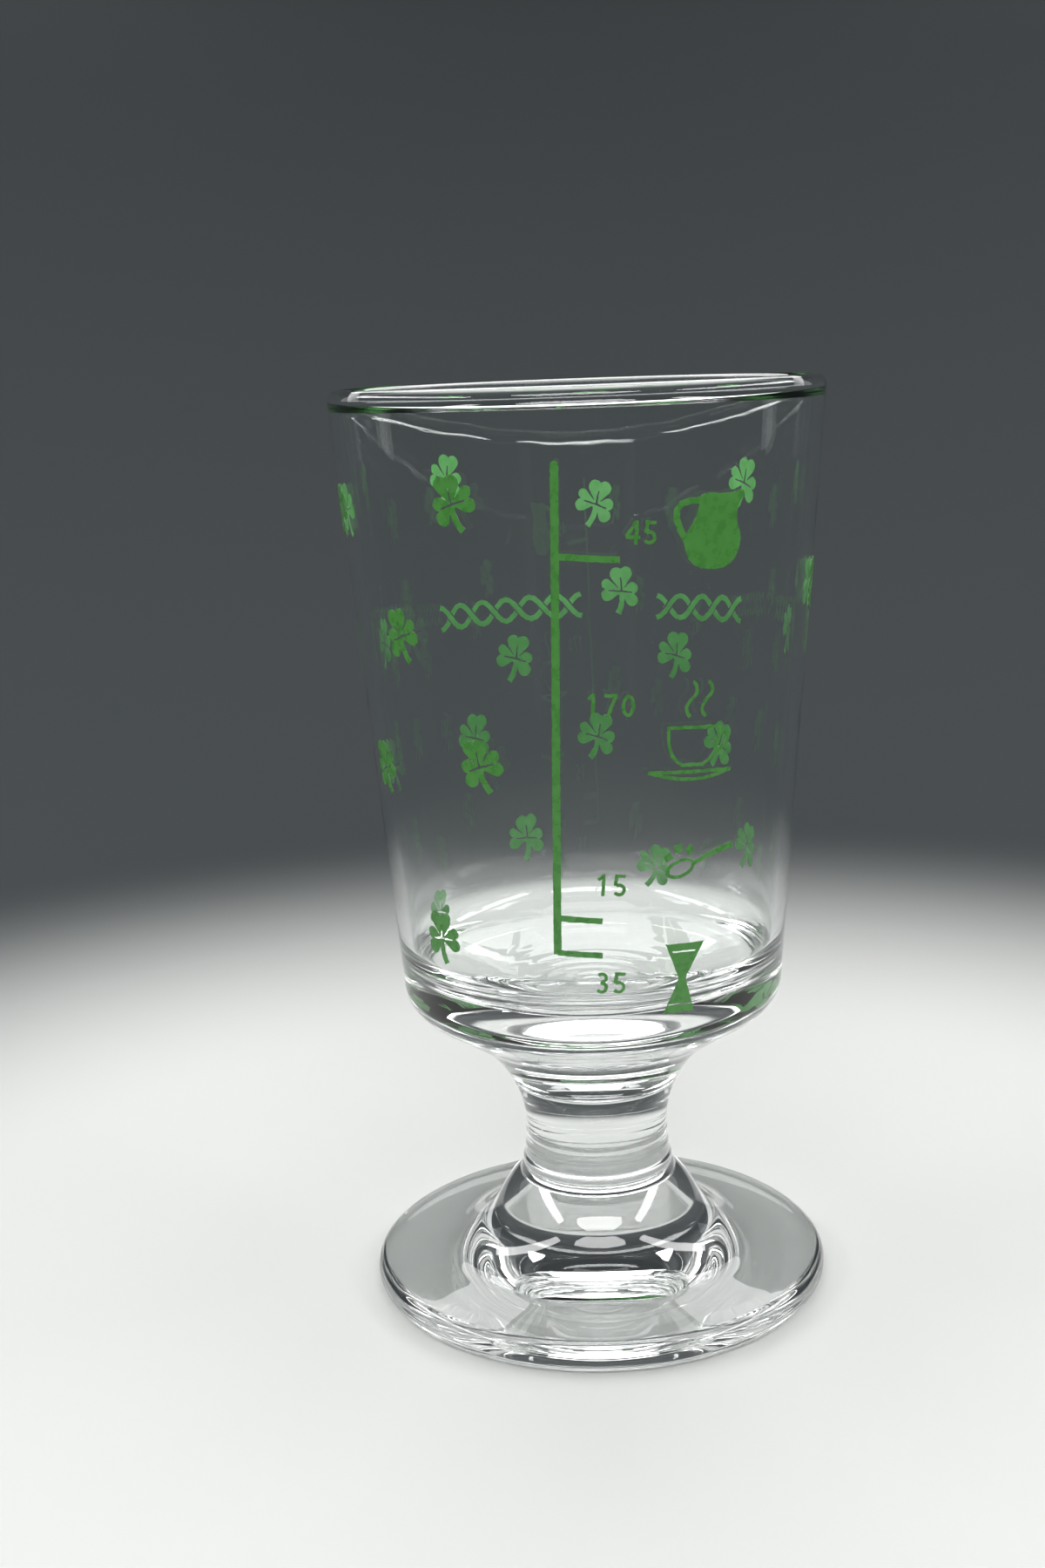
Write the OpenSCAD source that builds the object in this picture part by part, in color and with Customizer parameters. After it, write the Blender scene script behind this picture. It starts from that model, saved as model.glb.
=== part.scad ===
// Irish coffee glass: a tapered bowl on a waisted stem and a domed foot, printed in green enamel.
// Heights are above the table. An angle on the bowl is 0 at the front (-Y) and grows to the right (+X).

/* [Overall] */
// Height of the whole glass
overall_h = 146.7; // [142:0.1:156]
// Outside diameter across the rim
rim_d = 76.2; // [72:0.1:82]
// Diameter of the foot
foot_d = 74.8; // [68:0.1:84]

/* [Bowl] */
// Thickness of the rolled bead that finishes the rim
bead_d = 3.2; // [2.6:0.1:4]
// Thickness of the bowl's wall, measured level
wall = 2.1; // [1.6:0.1:2.5]
// Outside diameter where the wall and the underside would meet in a sharp corner
heel_d = 60.9; // [57:0.1:65]
// Height of that corner
heel_z = 49; // [47.5:0.1:51]
// Radius that rounds that corner
heel_round = 6; // [3:0.1:7]
// Height of the middle of the floor inside
floor_z = 50.5; // [47:0.1:54]
// Radius of the dish of the floor inside
floor_round = 76; // [60:1:110]
// Radius between the floor and the wall inside
corner_round = 7; // [4:0.1:9]

/* [Stem] */
// Diameter of the stem at its waist
waist_d = 23.2; // [21:0.1:26]
// Height of the waist
waist_z = 25.5; // [24:0.1:27]
// Radius of the hollow curve of the stem
waist_round = 20.6; // [18:0.1:22]
// Height of the seam between the stem and the bowl
bowl_seam_z = 34.5; // [32:0.1:37]
// Height of the seam between the foot and the stem
foot_seam_z = 18.3; // [17:0.1:20]
// Depth of the fine groove along the upper seam
seam_groove = 0.15; // [0.05:0.01:0.3]
// How far a pressed ring stands out of the stem
ring_rise = 0.15; // [0.05:0.01:0.3]
// Distance from one pressed ring to the next
ring_pitch = 2.3; // [1.8:0.1:2.8]
// Half the width of a pressed ring
ring_half_w = 0.8; // [0.5:0.05:1.1]
// Number of pressed rings
ring_count = 3; // [1:1:4]

/* [Foot] */
// Diameter of the bell in the middle of the foot where it runs out into the brim
bell_d = 33.2; // [31.5:0.1:36]
// Height at which it does
bell_z = 13.4; // [12.4:0.1:14.2]
// Radius of the side of the bell
bell_round = 20; // [12:0.5:40]
// Radius of the edge of the foot
edge_round = 2.5; // [1.8:0.1:3]
// Fall of the brim towards its edge, in degrees
brim_fall = 7.5; // [5:0.5:10]
// Diameter of the hollow under the foot
hollow_d = 61; // [50:0.5:64]
// Depth of the hollow under the foot
hollow_h = 0.8; // [0.4:0.1:3]

/* [Enamel] */
// Height of the printed field for which the sizes of the drawings below are given
print_field_h = 84; // [78:0.1:100]
// Thickness of the enamel film
film = 0.1; // [0.05:0.01:0.2]
// Height from the heel's corner to the start of the printed field
heel_gap_h = 5; // [4.5:0.1:7]
// Height from the end of the printed field to the rim
rim_gap_h = 8.7; // [7:0.1:12]
// Width of the scale's upright bar
bar_w = 1.15; // [0.8:0.05:1.6]
// Width of the scale's cross marks
mark_w = 0.9; // [0.6:0.05:1.2]
// Length of the long cross mark
long_mark_l = 8.9; // [6:0.1:10]
// Length of the short cross marks
short_mark_l = 6.6; // [5:0.1:8]
// Height of a shamrock
shamrock_h = 8.2; // [6:0.1:9]
// Height of a digit
digit_h = 3.3; // [2.4:0.1:4]
// Width of a drawn line
line_w = 0.5; // [0.4:0.05:0.6]
// Width of the jug, without its handle
jug_w = 9.4; // [7:0.1:11]
// Width of the cup
cup_w = 8.6; // [7:0.1:10]
// Length of the spoon
spoon_l = 12; // [10:0.1:13]
// Width of the spirit measure
measure_w = 6.4; // [5:0.1:8]
// Width of a strand of the plait
strand_w = 0.9; // [0.7:0.05:1]
// Height of the plait between the middles of its strands
plait_h = 3.8; // [3.4:0.1:5]
// Distance from one crossing of the plait to the next
plait_step = 4.7; // [4.2:0.1:5.4]

/* [Hidden] */
// Shamrocks: angle on the bowl, share of the printed field's height, and turn
shamrock_shares = [
    [-28.6, 0.916, 0], [-75.5, 0.891, 0], [-141, 0.914, 0], [175, 0.848, 3], [127.8, 0.891, 0], [-48.3, 0.684, 0],
    [-100, 0.620, 0], [168, 0.670, -14], [93, 0.628, 0], [79, 0.730, 0], [-26.9, 0.465, 0], [-65, 0.431, 0],
    [-159.2, 0.539, 0], [150.6, 0.539, -8], [175.9, 0.367, 0], [-143.1, 0.386, 0], [133.4, 0.365, 5],
    [-45.3, 0.133, -14], [-159.4, 0.163, -14], [156.9, 0.093, 5], [116.8, 0.175, 0], [-118, 0.052, 0]
];
SHAMROCKS = [for (i = [1:len(shamrock_shares)]) str("shamrock_", i < 10 ? "0" : "", i)];

glass_tint = [0.80, 0.90, 0.88, 0.45];
enamel_green = [0.27, 0.60, 0.25];
turn_fn = 256;
arc_steps = 10;
drawn_steps = 6;

rim_r = rim_d / 2;
foot_r = foot_d / 2;
heel = [heel_d / 2, heel_z];
waist_r = waist_d / 2;

// Unit vector, direction of a vector, and point at an angle round a centre
function unit(v) = v / norm(v);
function heading(v) = atan2(v.y, v.x);
function polar(c, r, a) = c + r * [cos(a), sin(a)];
function across(v) = [-v.y, v.x];
// Points of an arc round centre c from angle a0 to angle a1
function arc(c, r, a0, a1, n = arc_steps) = [for (i = [0:n]) polar(c, r, a0 + (a1 - a0) * i / n)];
// Arc of radius r from p to q that bulges to the right of the way from p to q
function bow(p, q, r) =
    let (
        mid = (p + q) / 2,
        half = norm(q - p) / 2,
        c = mid + across(unit(q - p)) * sqrt(r * r - half * half),
        a0 = heading(p - c),
        sweep = 2 * asin(half / r)
    ) arc(c, r, a0, a0 + sweep);
// Arc that rounds the corner q between p and s; turn is 1 for a left turn and -1 for a right turn
function round_corner(p, q, s, r, turn) =
    let (
        u = unit(p - q),
        v = unit(s - q),
        half = acos(u * v) / 2,
        c = q + unit(u + v) * r / sin(half),
        a0 = heading(q + u * r / tan(half) - c)
    ) arc(c, r, a0, a0 + turn * (180 - 2 * half));

// Outline of the bowl's wall: it leans from the heel's corner to a touch with the rim's bead
bead_r = bead_d / 2;
bead_c = [rim_r - bead_r, overall_h - bead_r];
lean_len = norm(bead_c - heel);
lean = 90 - heading(bead_c - heel) + asin(bead_r / lean_len);
lean_dir = [sin(lean), cos(lean)];
wall_slope = tan(lean);
function wall_r(z) = heel.x + (z - heel.y) * wall_slope;
wall_thick = wall * cos(lean);
bead_end = 360 - lean - acos((bead_r - wall_thick) / bead_r);

// The stem's hollow curve, and the cone under the bowl that runs from it to the heel's corner
waist_c = [waist_r + waist_round, waist_z];
function waist_curve(z) = waist_c.x - sqrt(pow(waist_round, 2) - pow(z - waist_z, 2));
to_waist = waist_c - heel;
under_dir = heading(to_waist) - asin(waist_round / norm(to_waist));
under_len = sqrt(to_waist * to_waist - pow(waist_round, 2));
under_start = polar(heel, under_len, under_dir);
neck_start = heading([waist_curve(bowl_seam_z + seam_groove), bowl_seam_z + seam_groove] - waist_c);
neck_end = heading(under_start - waist_c);
seam_r = waist_curve(bowl_seam_z);

// The floor inside: a dish, and the corner that joins it to the wall
dish_c = [0, floor_z + floor_round];
inner_base = heel.x - heel.y * wall_slope - wall - corner_round / cos(lean);
corner_a = 1 + pow(wall_slope, 2);
corner_b = inner_base * wall_slope - dish_c.y;
corner_k = pow(inner_base, 2) + pow(dish_c.y, 2) - pow(floor_round - corner_round, 2);
corner_z = (-corner_b - sqrt(corner_b * corner_b - corner_a * corner_k)) / corner_a;
corner_c = [inner_base + corner_z * wall_slope, corner_z];
floor_edge = heading(corner_c - dish_c);

module bowl() {
    outside = concat(
        [[0, bowl_seam_z], [seam_r - seam_groove, bowl_seam_z]],
        arc(waist_c, waist_round, neck_start, neck_end),
        round_corner(under_start, heel, heel + lean_dir, heel_round, 1),
        arc(bead_c, bead_r, -lean, bead_end, 2 * arc_steps)
    );
    inside = concat(
        arc(corner_c, corner_round, -lean, floor_edge),
        [for (i = [1:arc_steps]) polar(dish_c, floor_round, floor_edge - (90 + floor_edge) * i / arc_steps)]
    );
    color(glass_tint) rotate_extrude($fn = turn_fn) polygon(concat(outside, inside));
}

// Stem's radius with its pressed rings, which start one pitch above the foot
function ring_bump(z, k) =
    let (x = (z - foot_seam_z - k * ring_pitch) / ring_half_w) abs(x) < 1 ? (1 + cos(180 * x)) / 2 : 0;
function ring_sum(z, k = ring_count) = k == 0 ? 0 : ring_bump(z, k) + ring_sum(z, k - 1);
function stem_r(z) = waist_curve(z) + ring_rise * ring_sum(z);

module stem() {
    stem_top = bowl_seam_z - seam_groove;
    plain_z = foot_seam_z + ring_pitch * ring_count + ring_half_w;
    plain_steps = 5;
    ring_shares = [-1, -0.6, -0.25, 0, 0.25, 0.6, 1];
    rings = [
        for (k = [1:ring_count], s = ring_shares)
            let (z = foot_seam_z + k * ring_pitch + s * ring_half_w) [stem_r(z), z]
    ];
    plain = [for (i = [1:plain_steps]) let (z = plain_z + (stem_top - plain_z) * i / plain_steps) [stem_r(z), z]];
    outline = concat(
        [[0, foot_seam_z], [stem_r(foot_seam_z), foot_seam_z]],
        rings,
        plain,
        [[seam_r - seam_groove, bowl_seam_z], [0, bowl_seam_z]]
    );
    color(glass_tint) rotate_extrude($fn = turn_fn) polygon(outline);
}

module foot() {
    edge_c = [foot_r - edge_round, edge_round];
    brim_end = polar(edge_c, edge_round, 90 - brim_fall);
    brim_dir = [-cos(brim_fall), sin(brim_fall)];
    bell_top = [waist_curve(foot_seam_z), foot_seam_z];
    bell_foot = [bell_d / 2, bell_z];
    bell = bow(bell_foot, bell_top, bell_round);
    fall = heading(bell_foot - bell_top) - asin(norm(bell_foot - bell_top) / (2 * bell_round));
    run = [cos(fall), sin(fall)];
    brim_gap = (bell_foot - brim_end) * across(brim_dir);
    meet = bell_foot + run * brim_gap / -(run * across(brim_dir));
    half = acos(unit(bell_foot - meet) * unit(brim_end - meet)) / 2;
    cove_round = norm(meet - bell_foot) * tan(half);
    hollow_r = hollow_d / 2;
    dome_r = (pow(hollow_r, 2) + pow(hollow_h, 2)) / (2 * hollow_h);
    dome_edge = asin(hollow_r / dome_r);
    dome = arc([0, hollow_h - dome_r], dome_r, 90, 90 - dome_edge);
    outline = concat(
        dome,
        arc(edge_c, edge_round, -90, 90 - brim_fall),
        round_corner(brim_end, meet, bell_foot, cove_round, -1),
        [for (i = [1:arc_steps]) bell[i]],
        [[0, foot_seam_z]]
    );
    color(glass_tint) rotate_extrude($fn = turn_fn) polygon(outline);
}

// Enamel lies on the wall's outside as a thin film, cut to a flat drawing that faces it
field_low = heel_z + heel_gap_h;
field_high = overall_h - rim_gap_h;
field_h = field_high - field_low;
// A taller field gets larger drawings, which also stand further apart
drawing_scale = sqrt(field_h / print_field_h);
module film_ring() {
    rotate_extrude($fn = turn_fn) polygon([
        [wall_r(field_low), field_low],
        [wall_r(field_low) + film, field_low],
        [wall_r(field_high) + film, field_high],
        [wall_r(field_high), field_high]
    ]);
}

function field_z(share) = field_low + share * field_h;

// Puts a flat drawing on the wall at an angle and a share of the printed field's height
module enamel(angle, share, turn = 0) {
    color(enamel_green)
    intersection() {
        film_ring();
        rotate([0, 0, angle]) translate([0, 0, field_z(share)]) rotate([90, 0, 0])
            translate([0, 0, waist_r]) linear_extrude(rim_r) rotate(turn) scale(drawing_scale) children();
    }
}

// Band along a path, w0 wide at its start and w1 at its end
function side_of(p, i) = across(unit(p[min(i + 1, len(p) - 1)] - p[max(i - 1, 0)])) / 2;
function width_at(p, i, w0, w1) = w0 + (w1 - w0) * i / (len(p) - 1);
function band(p, w0, w1) = concat(
    [for (i = [0:len(p) - 1]) p[i] - side_of(p, i) * width_at(p, i, w0, w1)],
    [for (i = [len(p) - 1:-1:0]) p[i] + side_of(p, i) * width_at(p, i, w0, w1)]
);
module stroke(p, w = line_w) polygon(band(p, w, w));
// Curve from a to c that is drawn towards b
function bend(a, b, c, n = drawn_steps) =
    [for (i = [0:n]) let (t = i / n) (1 - t) * (1 - t) * a + 2 * t * (1 - t) * b + t * t * c];
// Corners of a closed outline cut off twice, which leaves it smooth
function cut_corners(p) = [
    for (i = [0:len(p) - 1]) let (a = p[i], b = p[(i + 1) % len(p)]) each [(3 * a + b) / 4, (a + 3 * b) / 4]
];
function smooth(p) = cut_corners(cut_corners(p));

// Scale: an upright bar with a round top, which leans a little, and three cross marks that fall to the right
scale_angle = -6.8;
bar_shares = [0.130, 0.978];
mark_shares = [0.134, 0.198, 0.829];
bar_lean = 2;
mark_fall = 5;

module fill_scale() {
    mid_share = (bar_shares[0] + bar_shares[1]) / 2;
    bar_h = (bar_shares[1] - bar_shares[0]) * field_h / drawing_scale;
    enamel(scale_angle, mid_share) {
        rotate(-bar_lean) translate([-bar_w, -bar_h] / 2) square([bar_w, bar_h]);
        rotate(-bar_lean) translate([0, bar_h / 2]) circle(bar_w / 2, $fn = 24);
        for (i = [0:len(mark_shares) - 1]) {
            mark_y = (mark_shares[i] - mid_share) * field_h / drawing_scale;
            mark_l = i == len(mark_shares) - 1 ? long_mark_l : short_mark_l;
            translate([mark_y * tan(bar_lean), mark_y]) rotate(-mark_fall)
                translate([0, -mark_w / 2]) square([mark_l, mark_w]);
        }
    }
}

// Shamrock: each leaf is a pair of round lobes, the stalk curves off, and a cross of veins is left clear.
// A lobe is angle, distance and radius, and a vein is angle and length, in shares of the height.
leaf_shares = [
    [[85, 0.367, 0.146], [119, 0.385, 0.140]],
    [[37, 0.374, 0.104], [-1, 0.335, 0.132]],
    [[180, 0.250, 0.128], [233, 0.305, 0.137]]
];
web_share = 1.1;
vein_shares = [[100, 0.28], [16, 0.29], [201, 0.24]];
vein_w_shares = [0.042, 0.028];
hub_share = 0.10;
stalk_shares = [[0, 0], [0.03, -0.28], [0.19, -0.45]];
stalk_w_shares = [0.10, 0.13];

// Round lobe with straight sides that run to the middle of the shamrock
function lobe(l) =
    let (open = 90 + asin(l[2] / l[1]))
    concat([[0, 0]], arc(polar([0, 0], l[1], l[0]), l[2], l[0] - open, l[0] + open, drawn_steps + 2));

module shamrock_drawing() {
    difference() {
        union() {
            for (leaf = leaf_shares) {
                web = [for (l = leaf) polar([0, 0], l[1] * web_share, l[0])];
                for (l = leaf) polygon(lobe(l) * shamrock_h);
                polygon(concat([[0, 0]], web) * shamrock_h);
            }
            circle(hub_share * shamrock_h, $fn = 16);
            polygon(band(
                bend(stalk_shares[0], stalk_shares[1], stalk_shares[2]) * shamrock_h,
                stalk_w_shares[0] * shamrock_h,
                stalk_w_shares[1] * shamrock_h
            ));
        }
        for (v = vein_shares)
            polygon(band([[0, 0], polar([0, 0], v[1], v[0])] * shamrock_h,
                vein_w_shares[0] * shamrock_h, vein_w_shares[1] * shamrock_h));
    }
}

module shamrock(i) {
    spot = shamrock_shares[i];
    enamel(spot[0], spot[1], spot[2]) shamrock_drawing();
}

// Digits drawn with strokes, their points in shares of the height; the arcs are centre, radius and end angles
digit_w_share = 0.60;
digit_pitch_share = 0.78;
zero_shares = [[0.30, 0.50], [0.29, 0.50]];
one_shares = [[[0.10, 0.74], [0.34, 0.95]], [[0.34, 0], [0.34, 1]]];
three_shares = [[[0.27, 0.74], 0.19, 150, -100], [[0.27, 0.28], 0.21, 110, -150]];
four_shares = [[[0.46, 0], [0.46, 1]], [[0.44, 0.94], [0.04, 0.32]], [[0.02, 0.30], [0.62, 0.30]]];
five_shares = [[[0.06, 0.93], [0.52, 0.93]], [[0.13, 0.96], [0.09, 0.48]]];
five_bowl_shares = [[0.26, 0.30], 0.23, 128, -145];
seven_shares = [[[0.02, 0.93], [0.58, 0.93]], [[0.53, 0.95], [0.20, 0]]];

module strokes(shares) for (s = shares) stroke(s * digit_h);
module arc_stroke(s) stroke(arc(s[0] * digit_h, s[1] * digit_h, s[2], s[3]));
module oval(inset) {
    c = zero_shares[0] * digit_h;
    half = zero_shares[1] * digit_h;
    polygon([for (a = [0:24:336]) c + [(half.x - inset) * cos(a), (half.y - inset) * sin(a)]]);
}

module digit(d) {
    if (d == 0) difference() {
        oval(0);
        oval(line_w);
    }
    if (d == 1) strokes(one_shares);
    if (d == 3) for (s = three_shares) arc_stroke(s);
    if (d == 4) strokes(four_shares);
    if (d == 5) {
        strokes(five_shares);
        arc_stroke(five_bowl_shares);
    }
    if (d == 7) strokes(seven_shares);
}

print_fall = -4;
module number(angle, share, digits) {
    n = len(digits);
    enamel(angle, share, print_fall)
        for (i = [0:n - 1])
            translate([(i - (n - 1) / 2) * digit_pitch_share - digit_w_share / 2, -0.5] * digit_h) digit(digits[i]);
}

// Cream jug, filled in: shares of the jug's width, with a handle on the left and a lip on the right
jug_shares = [
    [-0.32, -0.62], [0.32, -0.62], [0.56, -0.22], [0.34, 0.22], [0.56, 0.60], [0.22, 0.50],
    [-0.34, 0.52], [-0.30, 0.22], [-0.56, -0.22]
];
jug_handle_shares = [[-0.28, 0.40], [-0.98, 0.42], [-0.44, -0.24]];
handle_w_share = 0.10;

module jug_print() {
    enamel(31, 0.863, print_fall) {
        polygon(smooth(jug_shares) * jug_w);
        stroke(bend(jug_handle_shares[0], jug_handle_shares[1], jug_handle_shares[2]) * jug_w, handle_w_share * jug_w);
    }
}

// Cup and saucer in line: each curve is start, pull and end, in shares of the cup's width
cup_curve_shares = [
    [[-0.50, 0.34], [-0.50, -0.20], [-0.18, -0.30]],
    [[0.50, 0.34], [0.50, -0.20], [0.18, -0.30]],
    [[0.47, 0.24], [0.96, 0.20], [0.38, -0.14]],
    [[-0.78, -0.42], [0, -0.68], [0.78, -0.42]],
    [[-0.12, 0.52], [-0.30, 0.66], [-0.12, 0.82]],
    [[-0.12, 0.82], [0.06, 0.98], [-0.12, 1.12]],
    [[0.18, 0.52], [0, 0.66], [0.18, 0.82]],
    [[0.18, 0.82], [0.36, 0.98], [0.18, 1.12]]
];
cup_line_shares = [[[-0.53, 0.34], [0.53, 0.34]], [[-0.22, -0.30], [0.22, -0.30]], [[-0.80, -0.42], [0.80, -0.42]]];

module cup_print() {
    enamel(27, 0.49, print_fall) {
        for (c = cup_curve_shares) stroke(bend(c[0], c[1], c[2]) * cup_w);
        for (l = cup_line_shares) stroke(l * cup_w);
    }
}

// Spoon in line, with a filled handle and three lumps over its bowl, in shares of its length
spoon_bowl_shares = [[-0.30, 0], [0.20, 0.12]];
spoon_handle_shares = [[-0.12, 0], [0.20, 0.05], [0.50, 0]];
spoon_w_shares = [0.05, 0.09];
lump_shares = [[-0.42, 0.20, 12], [-0.27, 0.26, -8], [-0.13, 0.19, 20]];
lump_w_share = 0.10;
spoon_turn = 14;

module spoon_print() {
    enamel(30, 0.285, spoon_turn) {
        difference() {
            spoon_oval(0);
            spoon_oval(line_w);
        }
        polygon(band(
            bend(spoon_handle_shares[0], spoon_handle_shares[1], spoon_handle_shares[2]) * spoon_l,
            spoon_w_shares[0] * spoon_l,
            spoon_w_shares[1] * spoon_l
        ));
        for (l = lump_shares)
            translate([l[0], l[1]] * spoon_l) rotate(l[2]) translate([-0.5, -0.5] * lump_w_share * spoon_l)
                square(lump_w_share * spoon_l);
    }
}
module spoon_oval(inset) {
    c = spoon_bowl_shares[0] * spoon_l;
    half = spoon_bowl_shares[1] * spoon_l;
    polygon([for (a = [0:20:340]) c + [(half.x - inset) * cos(a), (half.y - inset) * sin(a)]]);
}

// Double-ended spirit measure, filled in, with a clear line round each cup, in shares of its width
measure_shares = [
    [-0.50, 0.92], [0.50, 0.92], [0.10, 0.10], [0.10, 0.02], [0.40, -0.78], [-0.40, -0.78], [-0.10, 0.02], [-0.10, 0.10]
];
clear_shares = [0.70, -0.60];

module measure_print() {
    enamel(25, 0.065, print_fall) difference() {
        polygon(measure_shares * measure_w);
        for (y = clear_shares)
            translate([-0.3, y] * measure_w) square([0.6 * measure_w, line_w / 2]);
    }
}

// Plait of two strands: each is a wave, and each passes under the other at every second crossing
plait_share = 0.64;
strand_steps = 6;
plait_r = wall_r(field_z(plait_share));
// A point at a distance along the wall, seen flat
function wrapped(x, y) = [plait_r * sin(x / plait_r * 180 / PI), y];
function wave(x0, x1, side, n) = [
    for (i = [0:n]) let (x = x0 + (x1 - x0) * i / n)
        wrapped(x, side * plait_h / 2 * cos(180 * x / plait_step))
];
module strand(steps, side) {
    half = steps * plait_step / 2;
    under = [for (k = [0:steps - 1]) if ((k + (side + 1) / 2) % 2 == 0) (k + 0.5) * plait_step - half];
    difference() {
        stroke(wave(-half, half, side, steps * strand_steps), strand_w);
        for (x = under)
            stroke(wave(x - 0.3 * plait_step, x + 0.3 * plait_step, -side, 4), strand_w + line_w);
    }
}
module plait(angle, steps) {
    enamel(angle, plait_share, print_fall / 4) {
        strand(steps, 1);
        strand(steps, -1);
    }
}

bowl();
stem();
foot();
fill_scale();
jug_print();
cup_print();
spoon_print();
measure_print();
number(13.5, 0.863, [4, 5]);  // number_45
number(6, 0.575, [1, 7, 0]);  // number_170
number(5.5, 0.256, [1, 5]);  // number_15
number(5, 0.075, [3, 5]);  // number_35
plait(203, 6);  // plait_long
plait(142, 4);  // plait_short
for (i = [0:len(SHAMROCKS) - 1]) shamrock(i);
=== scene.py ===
import math

import bmesh
import bpy
from mathutils import Matrix, Vector


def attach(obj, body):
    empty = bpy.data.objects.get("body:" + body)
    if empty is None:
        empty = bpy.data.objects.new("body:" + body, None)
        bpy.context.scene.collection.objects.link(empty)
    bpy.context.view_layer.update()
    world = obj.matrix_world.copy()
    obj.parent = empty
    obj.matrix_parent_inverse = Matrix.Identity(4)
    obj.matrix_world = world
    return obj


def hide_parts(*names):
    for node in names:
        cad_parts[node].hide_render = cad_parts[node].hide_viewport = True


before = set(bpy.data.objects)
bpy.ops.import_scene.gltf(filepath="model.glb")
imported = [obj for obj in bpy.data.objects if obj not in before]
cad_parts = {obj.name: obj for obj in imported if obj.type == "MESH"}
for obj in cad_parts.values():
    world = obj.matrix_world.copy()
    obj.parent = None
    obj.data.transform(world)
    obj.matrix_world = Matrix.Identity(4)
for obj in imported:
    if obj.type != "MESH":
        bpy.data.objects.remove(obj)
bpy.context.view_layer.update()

MM = 0.001


# colour and node helpers

def linear(hex_code):
    """An sRGB hex colour as the linear values, with alpha 1, that the shader sockets take."""
    channels = [int(hex_code[i:i + 2], 16) / 255 for i in (1, 3, 5)]
    levels = [c / 12.92 if c <= 0.04045 else ((c + 0.055) / 1.055) ** 2.4 for c in channels]
    return (*levels, 1.0)


def add_node(tree, kind, settings=None, inputs=None):
    """Adds a node with its settings; each input is a value, an output, or a node for its first output."""
    node = tree.nodes.new(kind)
    for name, value in (settings or {}).items():
        setattr(node, name, value)
    for key, value in (inputs or {}).items():
        if isinstance(value, bpy.types.Node):
            value = value.outputs[0]
        if isinstance(value, bpy.types.NodeSocket):
            tree.links.new(value, node.inputs[key])
        else:
            node.inputs[key].default_value = value
    return node


# the glass outline, in mm, as in the CAD

OVERALL_H = 146.7
RIM_R, FOOT_R = 38.1, 37.4
BEAD_R, WALL = 1.6, 2.1
HEEL = Vector((30.45, 49.0))
HEEL_ROUND, CORNER_ROUND = 6.0, 7.0
FLOOR_Z, FLOOR_ROUND = 50.5, 76.0
WAIST_R, WAIST_Z, WAIST_ROUND = 11.6, 25.5, 20.6
BOWL_SEAM_Z, FOOT_SEAM_Z = 34.5, 18.3
SEAM_GROOVE, SEAM_HALF_W = 0.15, 0.35
RING_RISE, RING_PITCH, RING_HALF_W, RING_COUNT = 0.15, 2.3, 0.8, 3
BELL_FOOT, BELL_ROUND = Vector((16.6, 13.4)), 20.0
EDGE_ROUND, BRIM_FALL = 2.5, math.radians(7.5)
HOLLOW_R, HOLLOW_H = 30.5, 0.8

# Distances between the outline's points, in mm
LINE_STEP, ARC_STEP, STEM_STEP, EDGE_STEP = 1.0, 0.35, 0.1, 0.2
BEAD_STEP, FLOOR_STEP, HOLLOW_STEP, LEAST_STEP = 0.15, 0.5, 1.0, 0.02
LEAST_ARC_PARTS = 4


def heading(v):
    return math.atan2(v.y, v.x)


def polar(centre, r, a):
    return centre + Vector((r * math.cos(a), r * math.sin(a)))


def arc(centre, r, a0, a1, step=ARC_STEP):
    """Points of an arc from angle a0 to a1, about one each step of its length."""
    n = max(LEAST_ARC_PARTS, math.ceil(abs(a1 - a0) * r / step))
    return [polar(centre, r, a0 + (a1 - a0) * i / n) for i in range(n + 1)]


def line(p, q):
    n = max(1, math.ceil((q - p).length / LINE_STEP))
    return [p.lerp(q, i / n) for i in range(n + 1)]


def round_corner(p, q, s, r, turn):
    """Arc that rounds the corner q between p and s: turn is 1 for a left turn, -1 for a right turn."""
    u, v = (p - q).normalized(), (s - q).normalized()
    half = u.angle(v) / 2
    centre = q + (u + v).normalized() * r / math.sin(half)
    a0 = heading(q + u * r / math.tan(half) - centre)
    return arc(centre, r, a0, a0 + turn * (math.pi - 2 * half))


bead = Vector((RIM_R - BEAD_R, OVERALL_H - BEAD_R))
LEAN = math.pi / 2 - heading(bead - HEEL) + math.asin(BEAD_R / (bead - HEEL).length)
WALL_SLOPE = math.tan(LEAN)


def waist_curve(z):
    """Radius of the stem's hollow curve at a height."""
    return WAIST_R + WAIST_ROUND - math.sqrt(WAIST_ROUND ** 2 - (z - WAIST_Z) ** 2)


def soft_bump(x):
    """1 at the middle, falling smoothly to 0 at -1 and 1."""
    return (1 + math.cos(math.pi * x)) / 2 if abs(x) < 1 else 0.0


def stem_r(z):
    """Radius of the stem with its pressed rings and the fine groove of the upper seam."""
    rings = sum(soft_bump((z - FOOT_SEAM_Z - k * RING_PITCH) / RING_HALF_W) for k in range(1, RING_COUNT + 1))
    groove = soft_bump((z - BOWL_SEAM_Z) / SEAM_HALF_W)
    return waist_curve(z) + RING_RISE * rings - SEAM_GROOVE * groove


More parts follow.
